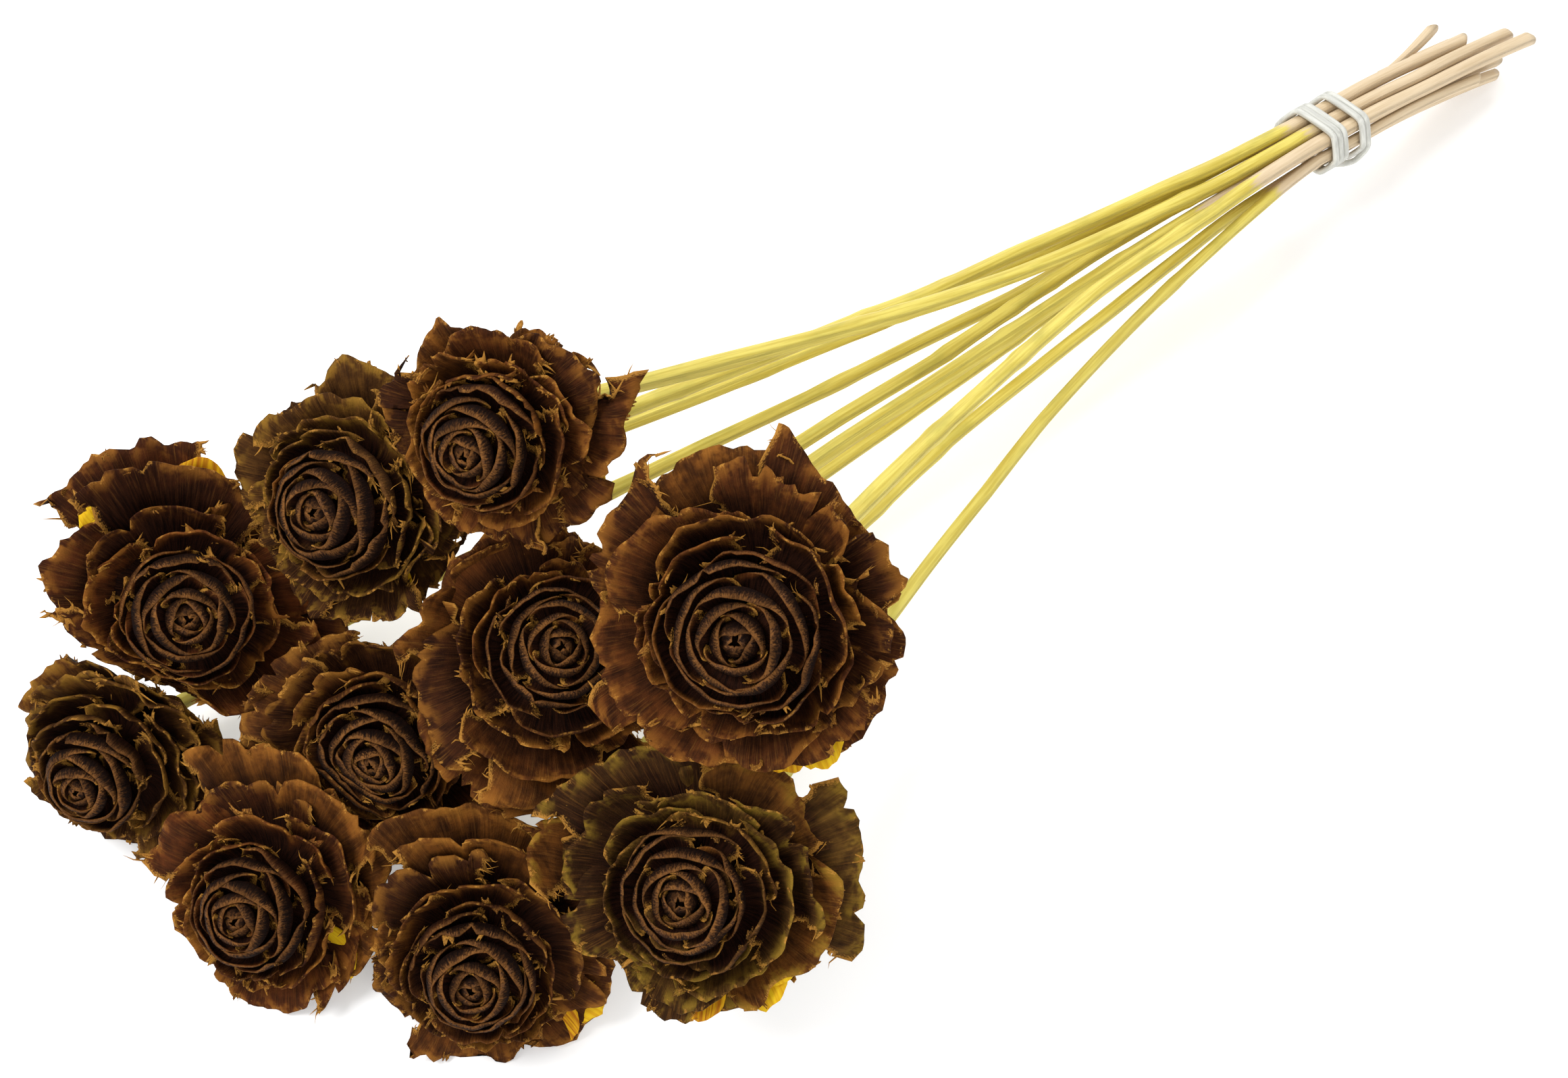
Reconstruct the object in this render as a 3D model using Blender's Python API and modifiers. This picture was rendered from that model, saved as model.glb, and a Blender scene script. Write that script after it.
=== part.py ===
"""A tied bunch of ten cedar rose cones on cut stems, lying on a table.

Each cedar rose is the tip of a deodar cone: woody scales set in a golden-angle spiral on a short core, the
outer ones spread flat and the inner ones cupped round a bud. A stem is glued into a socket under each rose,
the ten stems run together through a wound elastic band, and their cut ends stick out behind it.

Metres, +Z up. X runs along the bunch, roses at -X and cut ends at +X. The origin is on the table, under the
middle of the bunch.
"""

import math
from collections import namedtuple

import bmesh
import bpy
import numpy as np
from mathutils import Matrix, Vector

MM = 0.001

# The bunch. Places below are in millimetres from a point on the table near its middle, and MIDDLE is the
# exact middle of its box in the same terms.
MIDDLE = Vector((-1.41, 3.74, 0)) * MM

# Roses. place is the middle of the outer rim, facing is azimuth and elevation in degrees, radius is that of
# the outer rim and dome is the bud's height above it as a share of the radius. turn is the direction in which
# the spiral of scales runs, and seed shapes them. long_scales are the directions, in degrees from the rose's
# X, in which outer scales pass the rim, each with the share of the radius by which they do: the first scale
# of the spiral points in the first of them.
Rose = namedtuple("Rose", "name place facing radius dome turn seed long_scales")
ROSES = (
    Rose("rose_01", (-134, 24, 110), (-151, 34), 26.5, 0.80, 1, 11, ((0, 0.08),)),
    Rose("rose_02", (-159, 51, 78), (-154, 45), 29.5, 0.82, 1, 12, ((100, 0.08), (310, 0.14))),
    Rose("rose_03", (-201, 77, 47), (-106, 44), 29.5, 0.78, -1, 13, ((84, 0.58), (262, 0.20), (318, 0.34))),
    Rose("rose_04", (-231, 69, 21), (-148, 29), 26.5, 0.78, 1, 14, ((85, 0.26), (350, 0.14))),
    Rose("rose_05", (-184, 18, 38), (-131, 42), 26.5, 0.82, -1, 15, ((190, 0.55), (105, 0.30), (300, 0.30))),
    Rose("rose_06", (-147, -3, 61), (-108, 60), 28.5, 0.72, 1, 16, ((215, 0.22), (112, 0.36), (262, 0.46))),
    Rose("rose_07", (-121, -46, 98), (-144, 46), 34.5, 0.72, 1, 17, ((115, 0.10), (235, 0.12))),
    Rose("rose_08", (-156, -67, 48), (-151, 53), 30.0, 0.72, 1, 18, ((25, 0.32), (158, 0.50))),
    Rose("rose_09", (-197, -33, 18), (-130, 41), 26.5, 0.80, -1, 19, ((95, 0.45), (318, 0.20), (42, 0.44))),
    Rose("rose_10", (-224, 12, 18), (-150, 44), 26.5, 0.82, 1, 20, ((100, 0.44), (320, 0.20), (20, 0.30))),
)

# Scales. Lengths are shares of the rose's radius. The first FULL_SCALES reach the outer rim, and the rims of
# the CLOSING_SCALES after them close in to the middle, in turns of nearly even spacing. FOOT_RADIUS is where
# the outer ones start, inside the core, LAYER is the rise from one scale's foot to the next one's and RUFFLE
# the height of the waves at a rim. SCALE_SETS has each set's places in the spiral, and the columns and rows
# of its grids.
GOLDEN_ANGLE = math.radians(137.508)
FULL_SCALES = 4
CLOSING_SCALES = 32
FOOT_RADIUS = 0.14
LAYER = 0.034
RUFFLE = 0.03
SCALE_SETS = (
    ((0, 1, 2, 3, 4, 5), 4, 2),
    ((8, 10, 12, 14), 4, 2),
    ((20, 21, 22), 3, 2),
    ((28,), 3, 1),
)
SCALE_THICKNESS = 0.9 * MM
CORE_RADIUS = 0.20
CORE_BOTTOM = -0.46
CORE_SIDES = 8
SOCKET_DEPTH = 6 * MM
FIT_GAP = 0.3 * MM

# Scales near another rose or the table are bent away from the plane between them, over SOFTNESS. The
# table's plane is set low enough for the resting roses to touch the table, which cuts them flat there.
SOFTNESS = 5 * MM
ROSE_CLEARANCE = 0.8 * MM
TABLE_CLEARANCE = -4.0 * MM
RESTING = ("rose_04", "rose_09", "rose_10")

# Stems, in the roses' order. slot is the stem's row and place in the row where it goes through the band,
# bow its bend sideways and upwards, butt the length of its cut end from the tie's place, and splay how far
# that end stands out sideways and upwards. A stem runs straight through the band, from HELD_FROM to HELD_TO.
# The handles are the shares of its length over which it leaves the rose and comes to the tie. Behind the band
# all drop, by BUTT_DROP at BUTT_DROP_PLACE. Bare numbers are millimetres.
Stem = namedtuple("Stem", "name slot radius bow butt splay")
STEMS = (
    Stem("stem_01", (1, 0), 2.2, (0, -8), 104, (0, 1)),
    Stem("stem_02", (1, 1), 2.1, (4, 0), 84, (1, 1)),
    Stem("stem_03", (0, 3), 2.0, (4, -4), 78, (7, 4)),
    Stem("stem_04", (-1, 1), 2.0, (2, -4), 92, (1, 0)),
    Stem("stem_05", (0, 1), 2.1, (0, 0), 96, (1, 0)),
    Stem("stem_06", (0, -1), 2.3, (0, 2), 88, (0, 0)),
    Stem("stem_07", (1, -1), 2.2, (-4, 2), 107, (0, 2)),
    Stem("stem_08", (0, -3), 1.8, (-12, -2), 78, (-1, 0)),
    Stem("stem_09", (-1, -1), 1.9, (-4, -4), 94, (0, -1)),
    Stem("stem_10", (-1, 0), 2.0, (0, -3), 102, (0, -1)),
)
TIE_PLACE = Vector((144, 4, 28.9)) * MM
TIE_AXIS = Vector((0.985, -0.03, -0.14)).normalized()
HELD_FROM = -4 * MM
HELD_TO = 21 * MM
HEAD_HANDLE = 0.05
TIE_HANDLE = 0.5
SLOT_PITCH = 4.9
BUTT_DROP = 7.4
BUTT_DROP_PLACE = 81

# The band: one closed loop of rubber cord, wound in two groups with a gap between them. It steps from one to
# the other, and goes back over both, on the underside.
BAND_RADIUS = 1.0 * MM
BAND_GAP = 0.5 * MM
FRONT_TURNS = 2.5
BACK_TURNS = 2
GROUP_GAP = 6 * MM
STEPS_A_TURN = 16

BARK = (0.115, 0.045, 0.014)
DYED_STEM = (0.72, 0.60, 0.16)
RUBBER = (0.70, 0.72, 0.70)


def clear_scene():
    for obj in list(bpy.data.objects):
        bpy.data.objects.remove(obj)


def make_material(name, colour, roughness):
    material = bpy.data.materials.new(name)
    material.use_nodes = True
    shader = material.node_tree.nodes["Principled BSDF"]
    shader.inputs["Base Color"].default_value = (*colour, 1)
    shader.inputs["Roughness"].default_value = roughness
    shader.inputs["Metallic"].default_value = 0.0
    material.diffuse_color = (*colour, 1)
    return material


def rose_frame(rose):
    """The rose's own axes: Z out of its face, X to the right and Y up, as seen from the front."""
    azimuth, elevation = (math.radians(angle) for angle in rose.facing)
    level = math.cos(elevation)
    out = Vector((level * math.cos(azimuth), level * math.sin(azimuth), math.sin(elevation)))
    right = Vector((0, 0, 1)).cross(out).normalized()
    frame = Matrix((right, out.cross(right), out)).transposed().to_4x4()
    frame.translation = Vector(rose.place) * MM - MIDDLE
    return frame


def cubic(points, share):
    """A point of a Bezier curve, for numbers, vectors or arrays of shares."""
    a, b, c, d = points
    rest = 1 - share
    return a * rest**3 + b * 3 * share * rest**2 + c * 3 * share**2 * rest + d * share**3


def scale_points(rose, index, across, along):
    """Points on the middle surface of one scale, in the rose's own axes, in metres.

    across runs from -1 to 1 over the scale's width and along from 0 at its foot to 1 at its rim.
    """
    jitter = np.random.default_rng([rose.seed, index]).normal(size=6)
    rim = (1 - max(0, index - FULL_SCALES) / CLOSING_SCALES) ** 1.15
    azimuth = math.radians(rose.long_scales[0][0]) + rose.turn * index * GOLDEN_ANGLE + 0.08 * jitter[0]
    longer = 0
    for side, share in rose.long_scales:
        longer += share * max(0, math.cos(azimuth - math.radians(side))) ** 3

    # The scale's side view: a curve from its foot on the core to its rim.
    start_radius = FOOT_RADIUS * rim + 0.05 * (1 - rim)
    start_height = min(CORE_BOTTOM + 0.11 + LAYER * index, rose.dome - 0.12)
    end_radius = rim * (1 + 0.04 * jitter[1]) + longer * rim**3
    end_height = rose.dome * (1 - rim**1.5) ** 0.9 + LAYER * min(index, FULL_SCALES) + 0.03 * jitter[2] * rim
    start_angle = math.radians(6 + 62 * (1 - rim) ** 1.5)
    end_angle = math.radians(min(-8 + 190 * (1 - rim) ** 0.72, 150) + 8 * jitter[3] * rim)
    span = math.dist((start_radius, start_height), (end_radius, end_height))
    near, far = 0.42 * span, (0.38 + 0.5 * (1 - rim) ** 1.5) * span
    near_radius = start_radius + near * math.cos(start_angle)
    near_height = start_height + near * math.sin(start_angle)
    far_radius = end_radius - far * math.cos(end_angle)
    far_height = end_height - far * math.sin(end_angle)
    radii = (start_radius, near_radius, far_radius, end_radius)
    heights = (start_height, near_height, far_height, end_height)

    # Its outline: a fan from a narrow claw, with rounded corners and a ruffled rim.
    corner = 0.22 + 0.12 * (1 - rim)
    share = along * (1 - corner * np.abs(across) ** 2.4)
    ruffle = np.sin(across * (3.4 + jitter[4]) + 6 * jitter[5]) * along**2 * rim
    radius = cubic(radii, share) * (1 + 0.02 * ruffle)
    height = cubic(heights, share) + RUFFLE * ruffle
    fan = 0.55 + 0.45 * np.minimum(along / 0.5, 1)
    angle = azimuth + across * math.radians(38 + 48 * (1 - rim)) * fan
    points = np.stack([radius * np.cos(angle), radius * np.sin(angle), height], axis=-1)
    return points * rose.radius * MM


def crowding_planes(rose):
    """The planes that a rose stays behind: one for each near rose, and the table's.

    Each is (place, normal, clearance). The plane between two roses leans so that the one in front lies over
    the other's shoulder.
    """
    planes = []
    frame = np.array(rose_frame(rose))
    for other in ROSES:
        far = np.array(rose_frame(other))
        span = far[:3, 3] - frame[:3, 3]
        reach = (rose.radius + other.radius) * MM
        if other is rose or np.linalg.norm(span) > 1.5 * reach:
            continue
        facing = frame[:3, 2] + far[:3, 2]
        facing /= np.linalg.norm(facing)
        ahead = span @ facing
        aside = span - ahead * facing
        lean = np.clip(ahead / (8 * MM), -1, 1)
        normal = aside / np.linalg.norm(aside) + lean * facing
        normal /= np.linalg.norm(normal)
        share = rose.radius * MM / reach
        planes.append((frame[:3, 3] + span * share, normal, ROSE_CLEARANCE))
    table = (np.zeros(3), np.array((0.0, 0.0, -1.0)), TABLE_CLEARANCE)
    return planes + [table]


def bend_clear(points, planes):
    """Squeezes points past a plane in front of it, in their order: crowded scales bend and don't cross."""
    for place, normal, clearance in planes:
        inside = -(points - place) @ normal - clearance
        squeezed = SOFTNESS * np.exp(np.minimum(inside / SOFTNESS - 1, 0))
        shift = np.where(inside < SOFTNESS, squeezed - inside, 0)
        points = points - shift[..., None] * normal
    return points


def make_scale(rose, index, columns, rows, material, collection):
    """One scale: a grid laid on its surface, and thickened."""
    grid = bmesh.new()
    bmesh.ops.create_grid(grid, x_segments=columns, y_segments=rows, size=1)
    flat = np.array([vert.co[:2] for vert in grid.verts])
    local = scale_points(rose, index, flat[:, 0], (flat[:, 1] + 1) / 2)
    frame = np.array(rose_frame(rose))
    placed = bend_clear(local @ frame[:3, :3].T + frame[:3, 3], crowding_planes(rose))
    for vert, place in zip(grid.verts, placed):
        vert.co = place
    bmesh.ops.triangulate(grid, faces=grid.faces[:], quad_method="FIXED")
    mesh = bpy.data.meshes.new("scale")
    grid.to_mesh(mesh)
    grid.free()
    mesh.materials.append(material)
    scale = bpy.data.objects.new("scale", mesh)
    collection.objects.link(scale)
    shell = scale.modifiers.new("shell", "SOLIDIFY")
    shell.thickness = SCALE_THICKNESS
    shell.offset = 0


def make_core(rose, stem_radius, material, collection):
    """The turned core that the scales grow from, with the bud's tip on top and the stem's socket below."""
    size = rose.radius * MM
    bottom = CORE_BOTTOM * size
    top = rose.dome * size
    socket = stem_radius * MM + 2 * FIT_GAP
    profile = (
        (0.0, top),
        (0.07 * size, top * 0.95),
        (0.12 * size, top * 0.76),
        (0.11 * size, top * 0.40),
        (CORE_RADIUS * size, bottom + 0.35 * size),
        (CORE_RADIUS * size, bottom),
        (socket, bottom),
        (socket, bottom + SOCKET_DEPTH),
        (0.0, bottom + SOCKET_DEPTH),
    )
    mesh = bpy.data.meshes.new(rose.name)
    mesh.from_pydata([(r, 0, z) for r, z in profile], [(i, i + 1) for i in range(len(profile) - 1)], [])
    mesh.materials.append(material)
    core = bpy.data.objects.new(rose.name, mesh)
    collection.objects.link(core)
    core.matrix_world = rose_frame(rose)
    turn = core.modifiers.new("turn", "SCREW")
    turn.steps = turn.render_steps = CORE_SIDES
    turn.use_merge_vertices = True
    turn.merge_threshold = 0.00005
    return core


def boolean(obj, operation, target):
    """Applies a Boolean with an object or with all the objects of a collection."""
    modifier = obj.modifiers.new("boolean", "BOOLEAN")
    modifier.operation = operation
    if isinstance(target, bpy.types.Collection):
        modifier.operand_type = "COLLECTION"
        modifier.collection = target
    else:
        modifier.object = target
    graph = bpy.context.evaluated_depsgraph_get()
    mesh = bpy.data.meshes.new_from_object(obj.evaluated_get(graph))
    obj.modifiers.clear()
    obj.data = mesh


def islands(mesh):
    """The connected groups of faces of a bmesh."""
    waiting = set(mesh.faces)
    groups = []
    while waiting:
        group, edge = [], [waiting.pop()]
        while edge:
            face = edge.pop()
            group.append(face)
            near = {other for side in face.edges for other in side.link_faces} & waiting
            waiting -= near
            edge.extend(near)
        groups.append(group)
    return groups


def keep_outer_skin(obj):
    """Drops the skins of hollows sealed inside a fused solid, and any loose scrap."""
    mesh = bmesh.new()
    mesh.from_mesh(obj.data)
    groups = sorted(islands(mesh), key=len)
    for group in groups[:-1]:
        bmesh.ops.delete(mesh, geom=group, context="FACES")
    mesh.to_mesh(obj.data)
    mesh.free()


def make_rose(rose, stem, material, collection, below_table):
    core = make_core(rose, stem.radius, material, collection)
    scales = bpy.data.collections.new(rose.name + "_scales")
    bpy.context.scene.collection.children.link(scales)
    for indices, columns, rows in SCALE_SETS:
        for index in indices:
            make_scale(rose, index, columns, rows, material, scales)
    boolean(core, "UNION", scales)
    for scale in list(scales.objects):
        bpy.data.objects.remove(scale)
    bpy.data.collections.remove(scales)
    if rose.name in RESTING:
        boolean(core, "DIFFERENCE", below_table)
    keep_outer_skin(core)


def make_table_cutter(collection):
    """A block under the table's surface, which cuts the resting roses flat."""
    block = bmesh.new()
    bmesh.ops.create_cube(block, size=1)
    mesh = bpy.data.meshes.new("below_table")
    block.to_mesh(mesh)
    block.free()
    cutter = bpy.data.objects.new("below_table", mesh)
    cutter.location.z = -0.5
    cutter.hide_render = True
    cutter.display_type = "WIRE"
    collection.objects.link(cutter)
    return cutter


def tie_frame():
    """Axes of the tie: X along the stems towards their cut ends, Y level and Z up across them."""
    side = Vector((0, 0, 1)).cross(TIE_AXIS).normalized()
    frame = Matrix((TIE_AXIS, side, TIE_AXIS.cross(side))).transposed().to_4x4()
    frame.translation = TIE_PLACE - MIDDLE
    return frame


def slot_place(slot):
    """A stem's place in the tie, across the stems, in rows of three, four and three."""
    row, place = slot
    across = place * SLOT_PITCH if row else place * SLOT_PITCH / 2
    return Vector((0, across, row * SLOT_PITCH * math.sqrt(3) / 2)) * MM


def stem_route(rose, stem):
    """The stem's centreline from inside the rose's socket, through the tie, to its cut end."""
    frame, tie = rose_frame(rose), tie_frame()
    bottom = CORE_BOTTOM * rose.radius * MM
    glued_end = frame @ Vector((0, 0, bottom + SOCKET_DEPTH - FIT_GAP))
    leaving = frame @ Vector((0, 0, bottom - 2 * MM))
    slot = slot_place(stem.slot)
    held = tie @ (slot + Vector((HELD_FROM, 0, 0)))
    span = (held - leaving).length
    bow = tie.to_3x3() @ Vector((0, *stem.bow)) * MM
    downward = (leaving - glued_end).normalized()
    turned = leaving + downward * HEAD_HANDLE * span
    handles = (leaving, turned, held - TIE_AXIS * TIE_HANDLE * span + bow, held)
    route = [glued_end]
    route += [cubic(handles, share) for share in np.linspace(0, 1, 10)]
    behind = stem.butt * MM - HELD_TO
    sideways, upwards = stem.splay
    drop = BUTT_DROP * (behind / (BUTT_DROP_PLACE * MM)) ** 2
    spread = Vector((0, sideways, upwards - drop)) * MM
    for share in (0, 0.5, 1):
        route.append(tie @ (slot + Vector((HELD_TO + behind * share, 0, 0)) + spread * share**2))
    return route


def make_tube(name, route, radius, closed, resolution, material, collection):
    curve = bpy.data.curves.new(name, "CURVE")
    curve.dimensions = "3D"
    curve.bevel_depth = radius
    curve.bevel_resolution = resolution
    curve.use_fill_caps = not closed
    spline = curve.splines.new("POLY")
    spline.use_cyclic_u = closed
    spline.points.add(len(route) - 1)
    for point, place in zip(spline.points, route):
        point.co = (*place, 1)
    curve.materials.append(material)
    tube = bpy.data.objects.new(name, curve)
    collection.objects.link(tube)


def band_point(turns, along, lift):
    """A point of the band's centreline, tight round the stems, so many turns round and so far along them."""
    angle = 2 * math.pi * turns
    out = Vector((0, math.cos(angle), math.sin(angle)))
    clear = [slot_place(stem.slot) + out * stem.radius * MM for stem in STEMS]
    corner = max(clear, key=lambda place: place.dot(out))
    return tie_frame() @ (corner + out * (BAND_GAP + BAND_RADIUS + lift) + Vector((along, 0, 0)))


def band_route():
    """The front group's turns, the step to the back group, its turns, and half a turn back over both."""
    pitch = 2 * BAND_RADIUS + FIT_GAP
    turns = FRONT_TURNS + BACK_TURNS
    route = []
    for step in range(round(turns * STEPS_A_TURN)):
        done = step / STEPS_A_TURN
        over_gap = GROUP_GAP * min(max(2 * (done - FRONT_TURNS), 0), 1)
        route.append(band_point(done, done * pitch + over_gap, 0))
    way_back = (turns + 0.5) * pitch + GROUP_GAP
    for step in range(STEPS_A_TURN // 2):
        share = 2 * step / STEPS_A_TURN
        done = turns + share / 2
        lift = pitch * min(1, 4 * share, 4 * (1 - share))
        crossed = min(max(2 * share - 0.5, 0), 1)
        route.append(band_point(done, done * pitch + GROUP_GAP - crossed * way_back, lift))
    return route


def main():
    clear_scene()
    bunch = bpy.data.collections.new("cedar_rose_bunch")
    cutters = bpy.data.collections.new("cutters")
    for collection in (bunch, cutters):
        bpy.context.scene.collection.children.link(collection)
    bark = make_material("cone_scales", BARK, 0.7)
    dyed = make_material("dyed_stem", DYED_STEM, 0.6)
    rubber = make_material("rubber", RUBBER, 0.5)
    below_table = make_table_cutter(cutters)
    for rose, stem in zip(ROSES, STEMS):
        make_rose(rose, stem, bark, bunch, below_table)
        make_tube(stem.name, stem_route(rose, stem), stem.radius * MM, False, 2, dyed, bunch)
    make_tube("elastic_band", band_route(), BAND_RADIUS, True, 1, rubber, bunch)


main()
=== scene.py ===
"""The looks of a tied bunch of ten cedar rose cones on dyed stems, lying on a pale floor.

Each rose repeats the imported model's spiral of scales, with every scale in place, ragged and split as on
a dried cone. Metres, +Z up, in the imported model's frame. Millimetre tables are turned to metres by MM.
"""

import functools
import math
from collections import namedtuple

import bpy
import numpy as np
from mathutils import Matrix, Vector


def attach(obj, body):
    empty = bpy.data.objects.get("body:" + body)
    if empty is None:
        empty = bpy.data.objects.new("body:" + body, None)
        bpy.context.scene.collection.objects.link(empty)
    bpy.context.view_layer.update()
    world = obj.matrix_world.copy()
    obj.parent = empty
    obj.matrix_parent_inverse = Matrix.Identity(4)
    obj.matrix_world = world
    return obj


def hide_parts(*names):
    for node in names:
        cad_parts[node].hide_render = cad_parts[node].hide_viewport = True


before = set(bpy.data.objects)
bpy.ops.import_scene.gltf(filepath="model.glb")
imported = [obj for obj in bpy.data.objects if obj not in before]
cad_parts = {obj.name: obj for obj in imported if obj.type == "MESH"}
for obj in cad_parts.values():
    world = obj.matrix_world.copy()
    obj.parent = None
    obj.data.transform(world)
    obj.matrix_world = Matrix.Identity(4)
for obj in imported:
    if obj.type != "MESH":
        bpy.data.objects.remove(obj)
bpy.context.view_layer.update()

MM = 0.001
UP = np.array((0.0, 0.0, 1.0))

# The middle of the bunch's box in the tables below: it goes to the origin.
MIDDLE = np.array((-1.41, 3.74, 0.0)) * MM

# The roses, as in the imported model: place and radius in millimetres, facing in degrees round and up, the
# dome's height as a share of the radius, the spiral's hand, and the directions in degrees in which the
# outer scales grow longer, with how much longer they grow there.
Rose = namedtuple("Rose", "name place facing radius dome turn seed long_scales")
ROSES = (
    Rose("rose_01", (-134, 24, 110), (-151, 34), 26.5, 0.80, 1, 11, ((0, 0.08),)),
    Rose("rose_02", (-159, 51, 78), (-154, 45), 29.5, 0.82, 1, 12, ((100, 0.08), (310, 0.14))),
    Rose("rose_03", (-201, 77, 47), (-106, 44), 29.5, 0.78, -1, 13, ((84, 0.58), (262, 0.20), (318, 0.34))),
    Rose("rose_04", (-231, 69, 21), (-148, 29), 26.5, 0.78, 1, 14, ((85, 0.26), (350, 0.14))),
    Rose("rose_05", (-184, 18, 38), (-131, 42), 26.5, 0.82, -1, 15, ((190, 0.55), (105, 0.30), (300, 0.30))),
    Rose("rose_06", (-147, -3, 61), (-108, 60), 28.5, 0.72, 1, 16, ((215, 0.22), (112, 0.36), (262, 0.46))),
    Rose("rose_07", (-121, -46, 98), (-144, 46), 34.5, 0.72, 1, 17, ((115, 0.10), (235, 0.12))),
    Rose("rose_08", (-156, -67, 48), (-151, 53), 30.0, 0.72, 1, 18, ((25, 0.32), (158, 0.50))),
    Rose("rose_09", (-197, -33, 18), (-130, 41), 26.5, 0.80, -1, 19, ((95, 0.45), (318, 0.20), (42, 0.44))),
    Rose("rose_10", (-224, 12, 18), (-150, 44), 26.5, 0.82, 1, 20, ((100, 0.44), (320, 0.20), (20, 0.30))),
)

# How each rose is dyed: 0 is brown, towards 1 olive and towards -1 red.
TINTS = (-0.1, 0.4, -0.5, 0.35, 0.1, 0.0, -0.1, 0.65, 0.05, -0.3)

# Papery seed wings that show between a rose's outer scales: the direction of each, in degrees from the
# rose's X, and how far it reaches, as a share of the radius.
WINGS = (
    ((345, 1.05), (255, 0.98)),
    ((305, 1.0),),
    ((62, 1.25), (80, 1.15), (108, 1.2)),
    (),
    ((240, 0.9),),
    ((94, 1.42),),
    ((292, 1.0), (306, 1.04)),
    ((284, 1.02), (318, 1.06), (330, 0.96)),
    ((312, 1.16), (330, 1.22), (345, 1.05)),
    ((330, 1.12),),
)

# The spiral of scales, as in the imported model. Lengths without MM are shares of the rose's radius. Crowded
# roses bend their scales clear of planes between them, which lean with how far one stands before the other.
GOLDEN_ANGLE = math.radians(137.508)
FULL_SCALES = 4
CLOSING_SCALES = 32
FOOT_RADIUS = 0.14
LAYER = 0.034
RUFFLE = 0.03
CORE_RADIUS = 0.20
CORE_BOTTOM = -0.46
SOCKET_DEPTH = 6 * MM
FIT_GAP = 0.3 * MM
SOFTNESS = 5 * MM
ROSE_CLEARANCE = 0.8 * MM
TABLE_CLEARANCE = -4.0 * MM
CROWDING_REACH = 1.5
LEAN_DEPTH = 8 * MM

# Every scale of a rose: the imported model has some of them. The first ones lie under the outer rim.
FIRST_SCALE = -3
LAST_SCALE = 38
UNDER_SCALE_LENGTH = 0.93

# The grids of the thin sheets. The largest scale's grid is twice as fine as the smallest one's.
SCALE_COLUMNS, SCALE_ROWS = 16, 10
FLAKE_COLUMNS, FLAKE_ROWS = 5, 4
WING_COLUMNS, WING_ROWS = 13, 12

# What is torn off a scale, and how its corners differ, as shares of its length or width. Scales whose rims
# reach farther than SPLIT_FROM also have splits, slivers and flakes.
SPLIT_FROM = 0.4
CHIPS = 0.030
NICKS = 0.050
SPLITS = (0.05, 0.25)
LOST_CORNER = (0.08, 0.35)
TORN_SIDES = 0.085
ROUNDING = 0.26
SLANT = 0.17
POINTED_CORNER = (0.08, 0.20)

# A scale's relief, as shares of the rose's radius.
CUPPING = 0.05
TILT = 0.03
LOOSE_TILT = 0.06
CURL = 0.11
BROAD_FOLDS = 0.022
NARROW_FOLDS = 0.012
CRINKLED_RIM = 0.020
CRINKLED_SIDES = 0.022

# Thickness in millimetres: a scale's at its edges, and what its blade and its foot add to that.
EDGE_THICKNESS = 0.30
BLADE_THICKNESS = 0.5
FOOT_THICKNESS = 0.25
BLADE_FROM_EDGE = 1.2

# Flakes and wings are twice this thick.
SHEET_HALF = 0.12 * MM

# Flakes and slivers that are torn loose, in millimetres. A sliver is mostly about twice SLIVER_LENGTH long.
FLAKE_LENGTH = (1.2, 3.8)
FLAKE_WIDTH = (0.5, 1.5)
SLIVER_LENGTH = 0.7
SLIVER_BREADTH = (0.1, 0.3)

# The dressing stays this far above the floor.
FLOOR_GAP = 0.05 * MM

# The stems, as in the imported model: their slots in the tie, and in millimetres their radius, their bow, how
# far they reach behind the tie and their splay there. dye_end is where the yellow dye stops, from the tie.
Stem = namedtuple("Stem", "name slot radius bow butt splay dye_end")
STEMS = (
    Stem("stem_01", (1, 0), 2.2, (0, -8), 104, (0, 1), -4),
    Stem("stem_02", (1, 1), 2.1, (4, 0), 84, (1, 1), -8),
    Stem("stem_03", (0, 3), 2.0, (4, -4), 78, (7, 4), -14),
    Stem("stem_04", (-1, 1), 2.0, (2, -4), 92, (1, 0), -20),
    Stem("stem_05", (0, 1), 2.1, (0, 0), 96, (1, 0), -30),
    Stem("stem_06", (0, -1), 2.3, (0, 2), 88, (0, 0), -52),
    Stem("stem_07", (1, -1), 2.2, (-4, 2), 107, (0, 2), -34),
    Stem("stem_08", (0, -3), 1.8, (-12, -2), 78, (-1, 0), -26),
    Stem("stem_09", (-1, -1), 1.9, (-4, -4), 94, (0, -1), -22),
    Stem("stem_10", (-1, 0), 2.0, (0, -3), 102, (0, -1), -24),
)

# The tie that holds the stems and the band round them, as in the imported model.
TIE_PLACE = np.array((144, 4, 28.9)) * MM
TIE_AXIS = Vector((0.985, -0.03, -0.14)).normalized()
HELD_FROM = -4 * MM
HELD_TO = 21 * MM
HEAD_HANDLE = 0.05
TIE_HANDLE = 0.5
SLOT_PITCH = 4.9
BUTT_DROP = 7.4
BUTT_DROP_PLACE = 81
BAND_RADIUS = 1.0 * MM
BAND_GAP = 0.5 * MM
FRONT_TURNS = 2.5
BACK_TURNS = 2
GROUP_GAP = 6 * MM

# How finely the stems, the cores and the band are drawn, and the band's section as shares of its radius.
HEAD_POINTS = 90
BUTT_POINTS = 30
STEM_SIDES = 16
CORE_SIDES = 24
BAND_STEPS = 48
BAND_SIDES = 14
BAND_WIDTH = 1.06
BAND_HEIGHT = 0.9

# A dried stem is a little crooked and has knots: their swell is a share of its radius, their length of its
# own length.
CROOKED = 0.5 * MM
KNOTS = 3
KNOT_SWELL = 0.16
KNOT_LENGTH = 0.008

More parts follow.
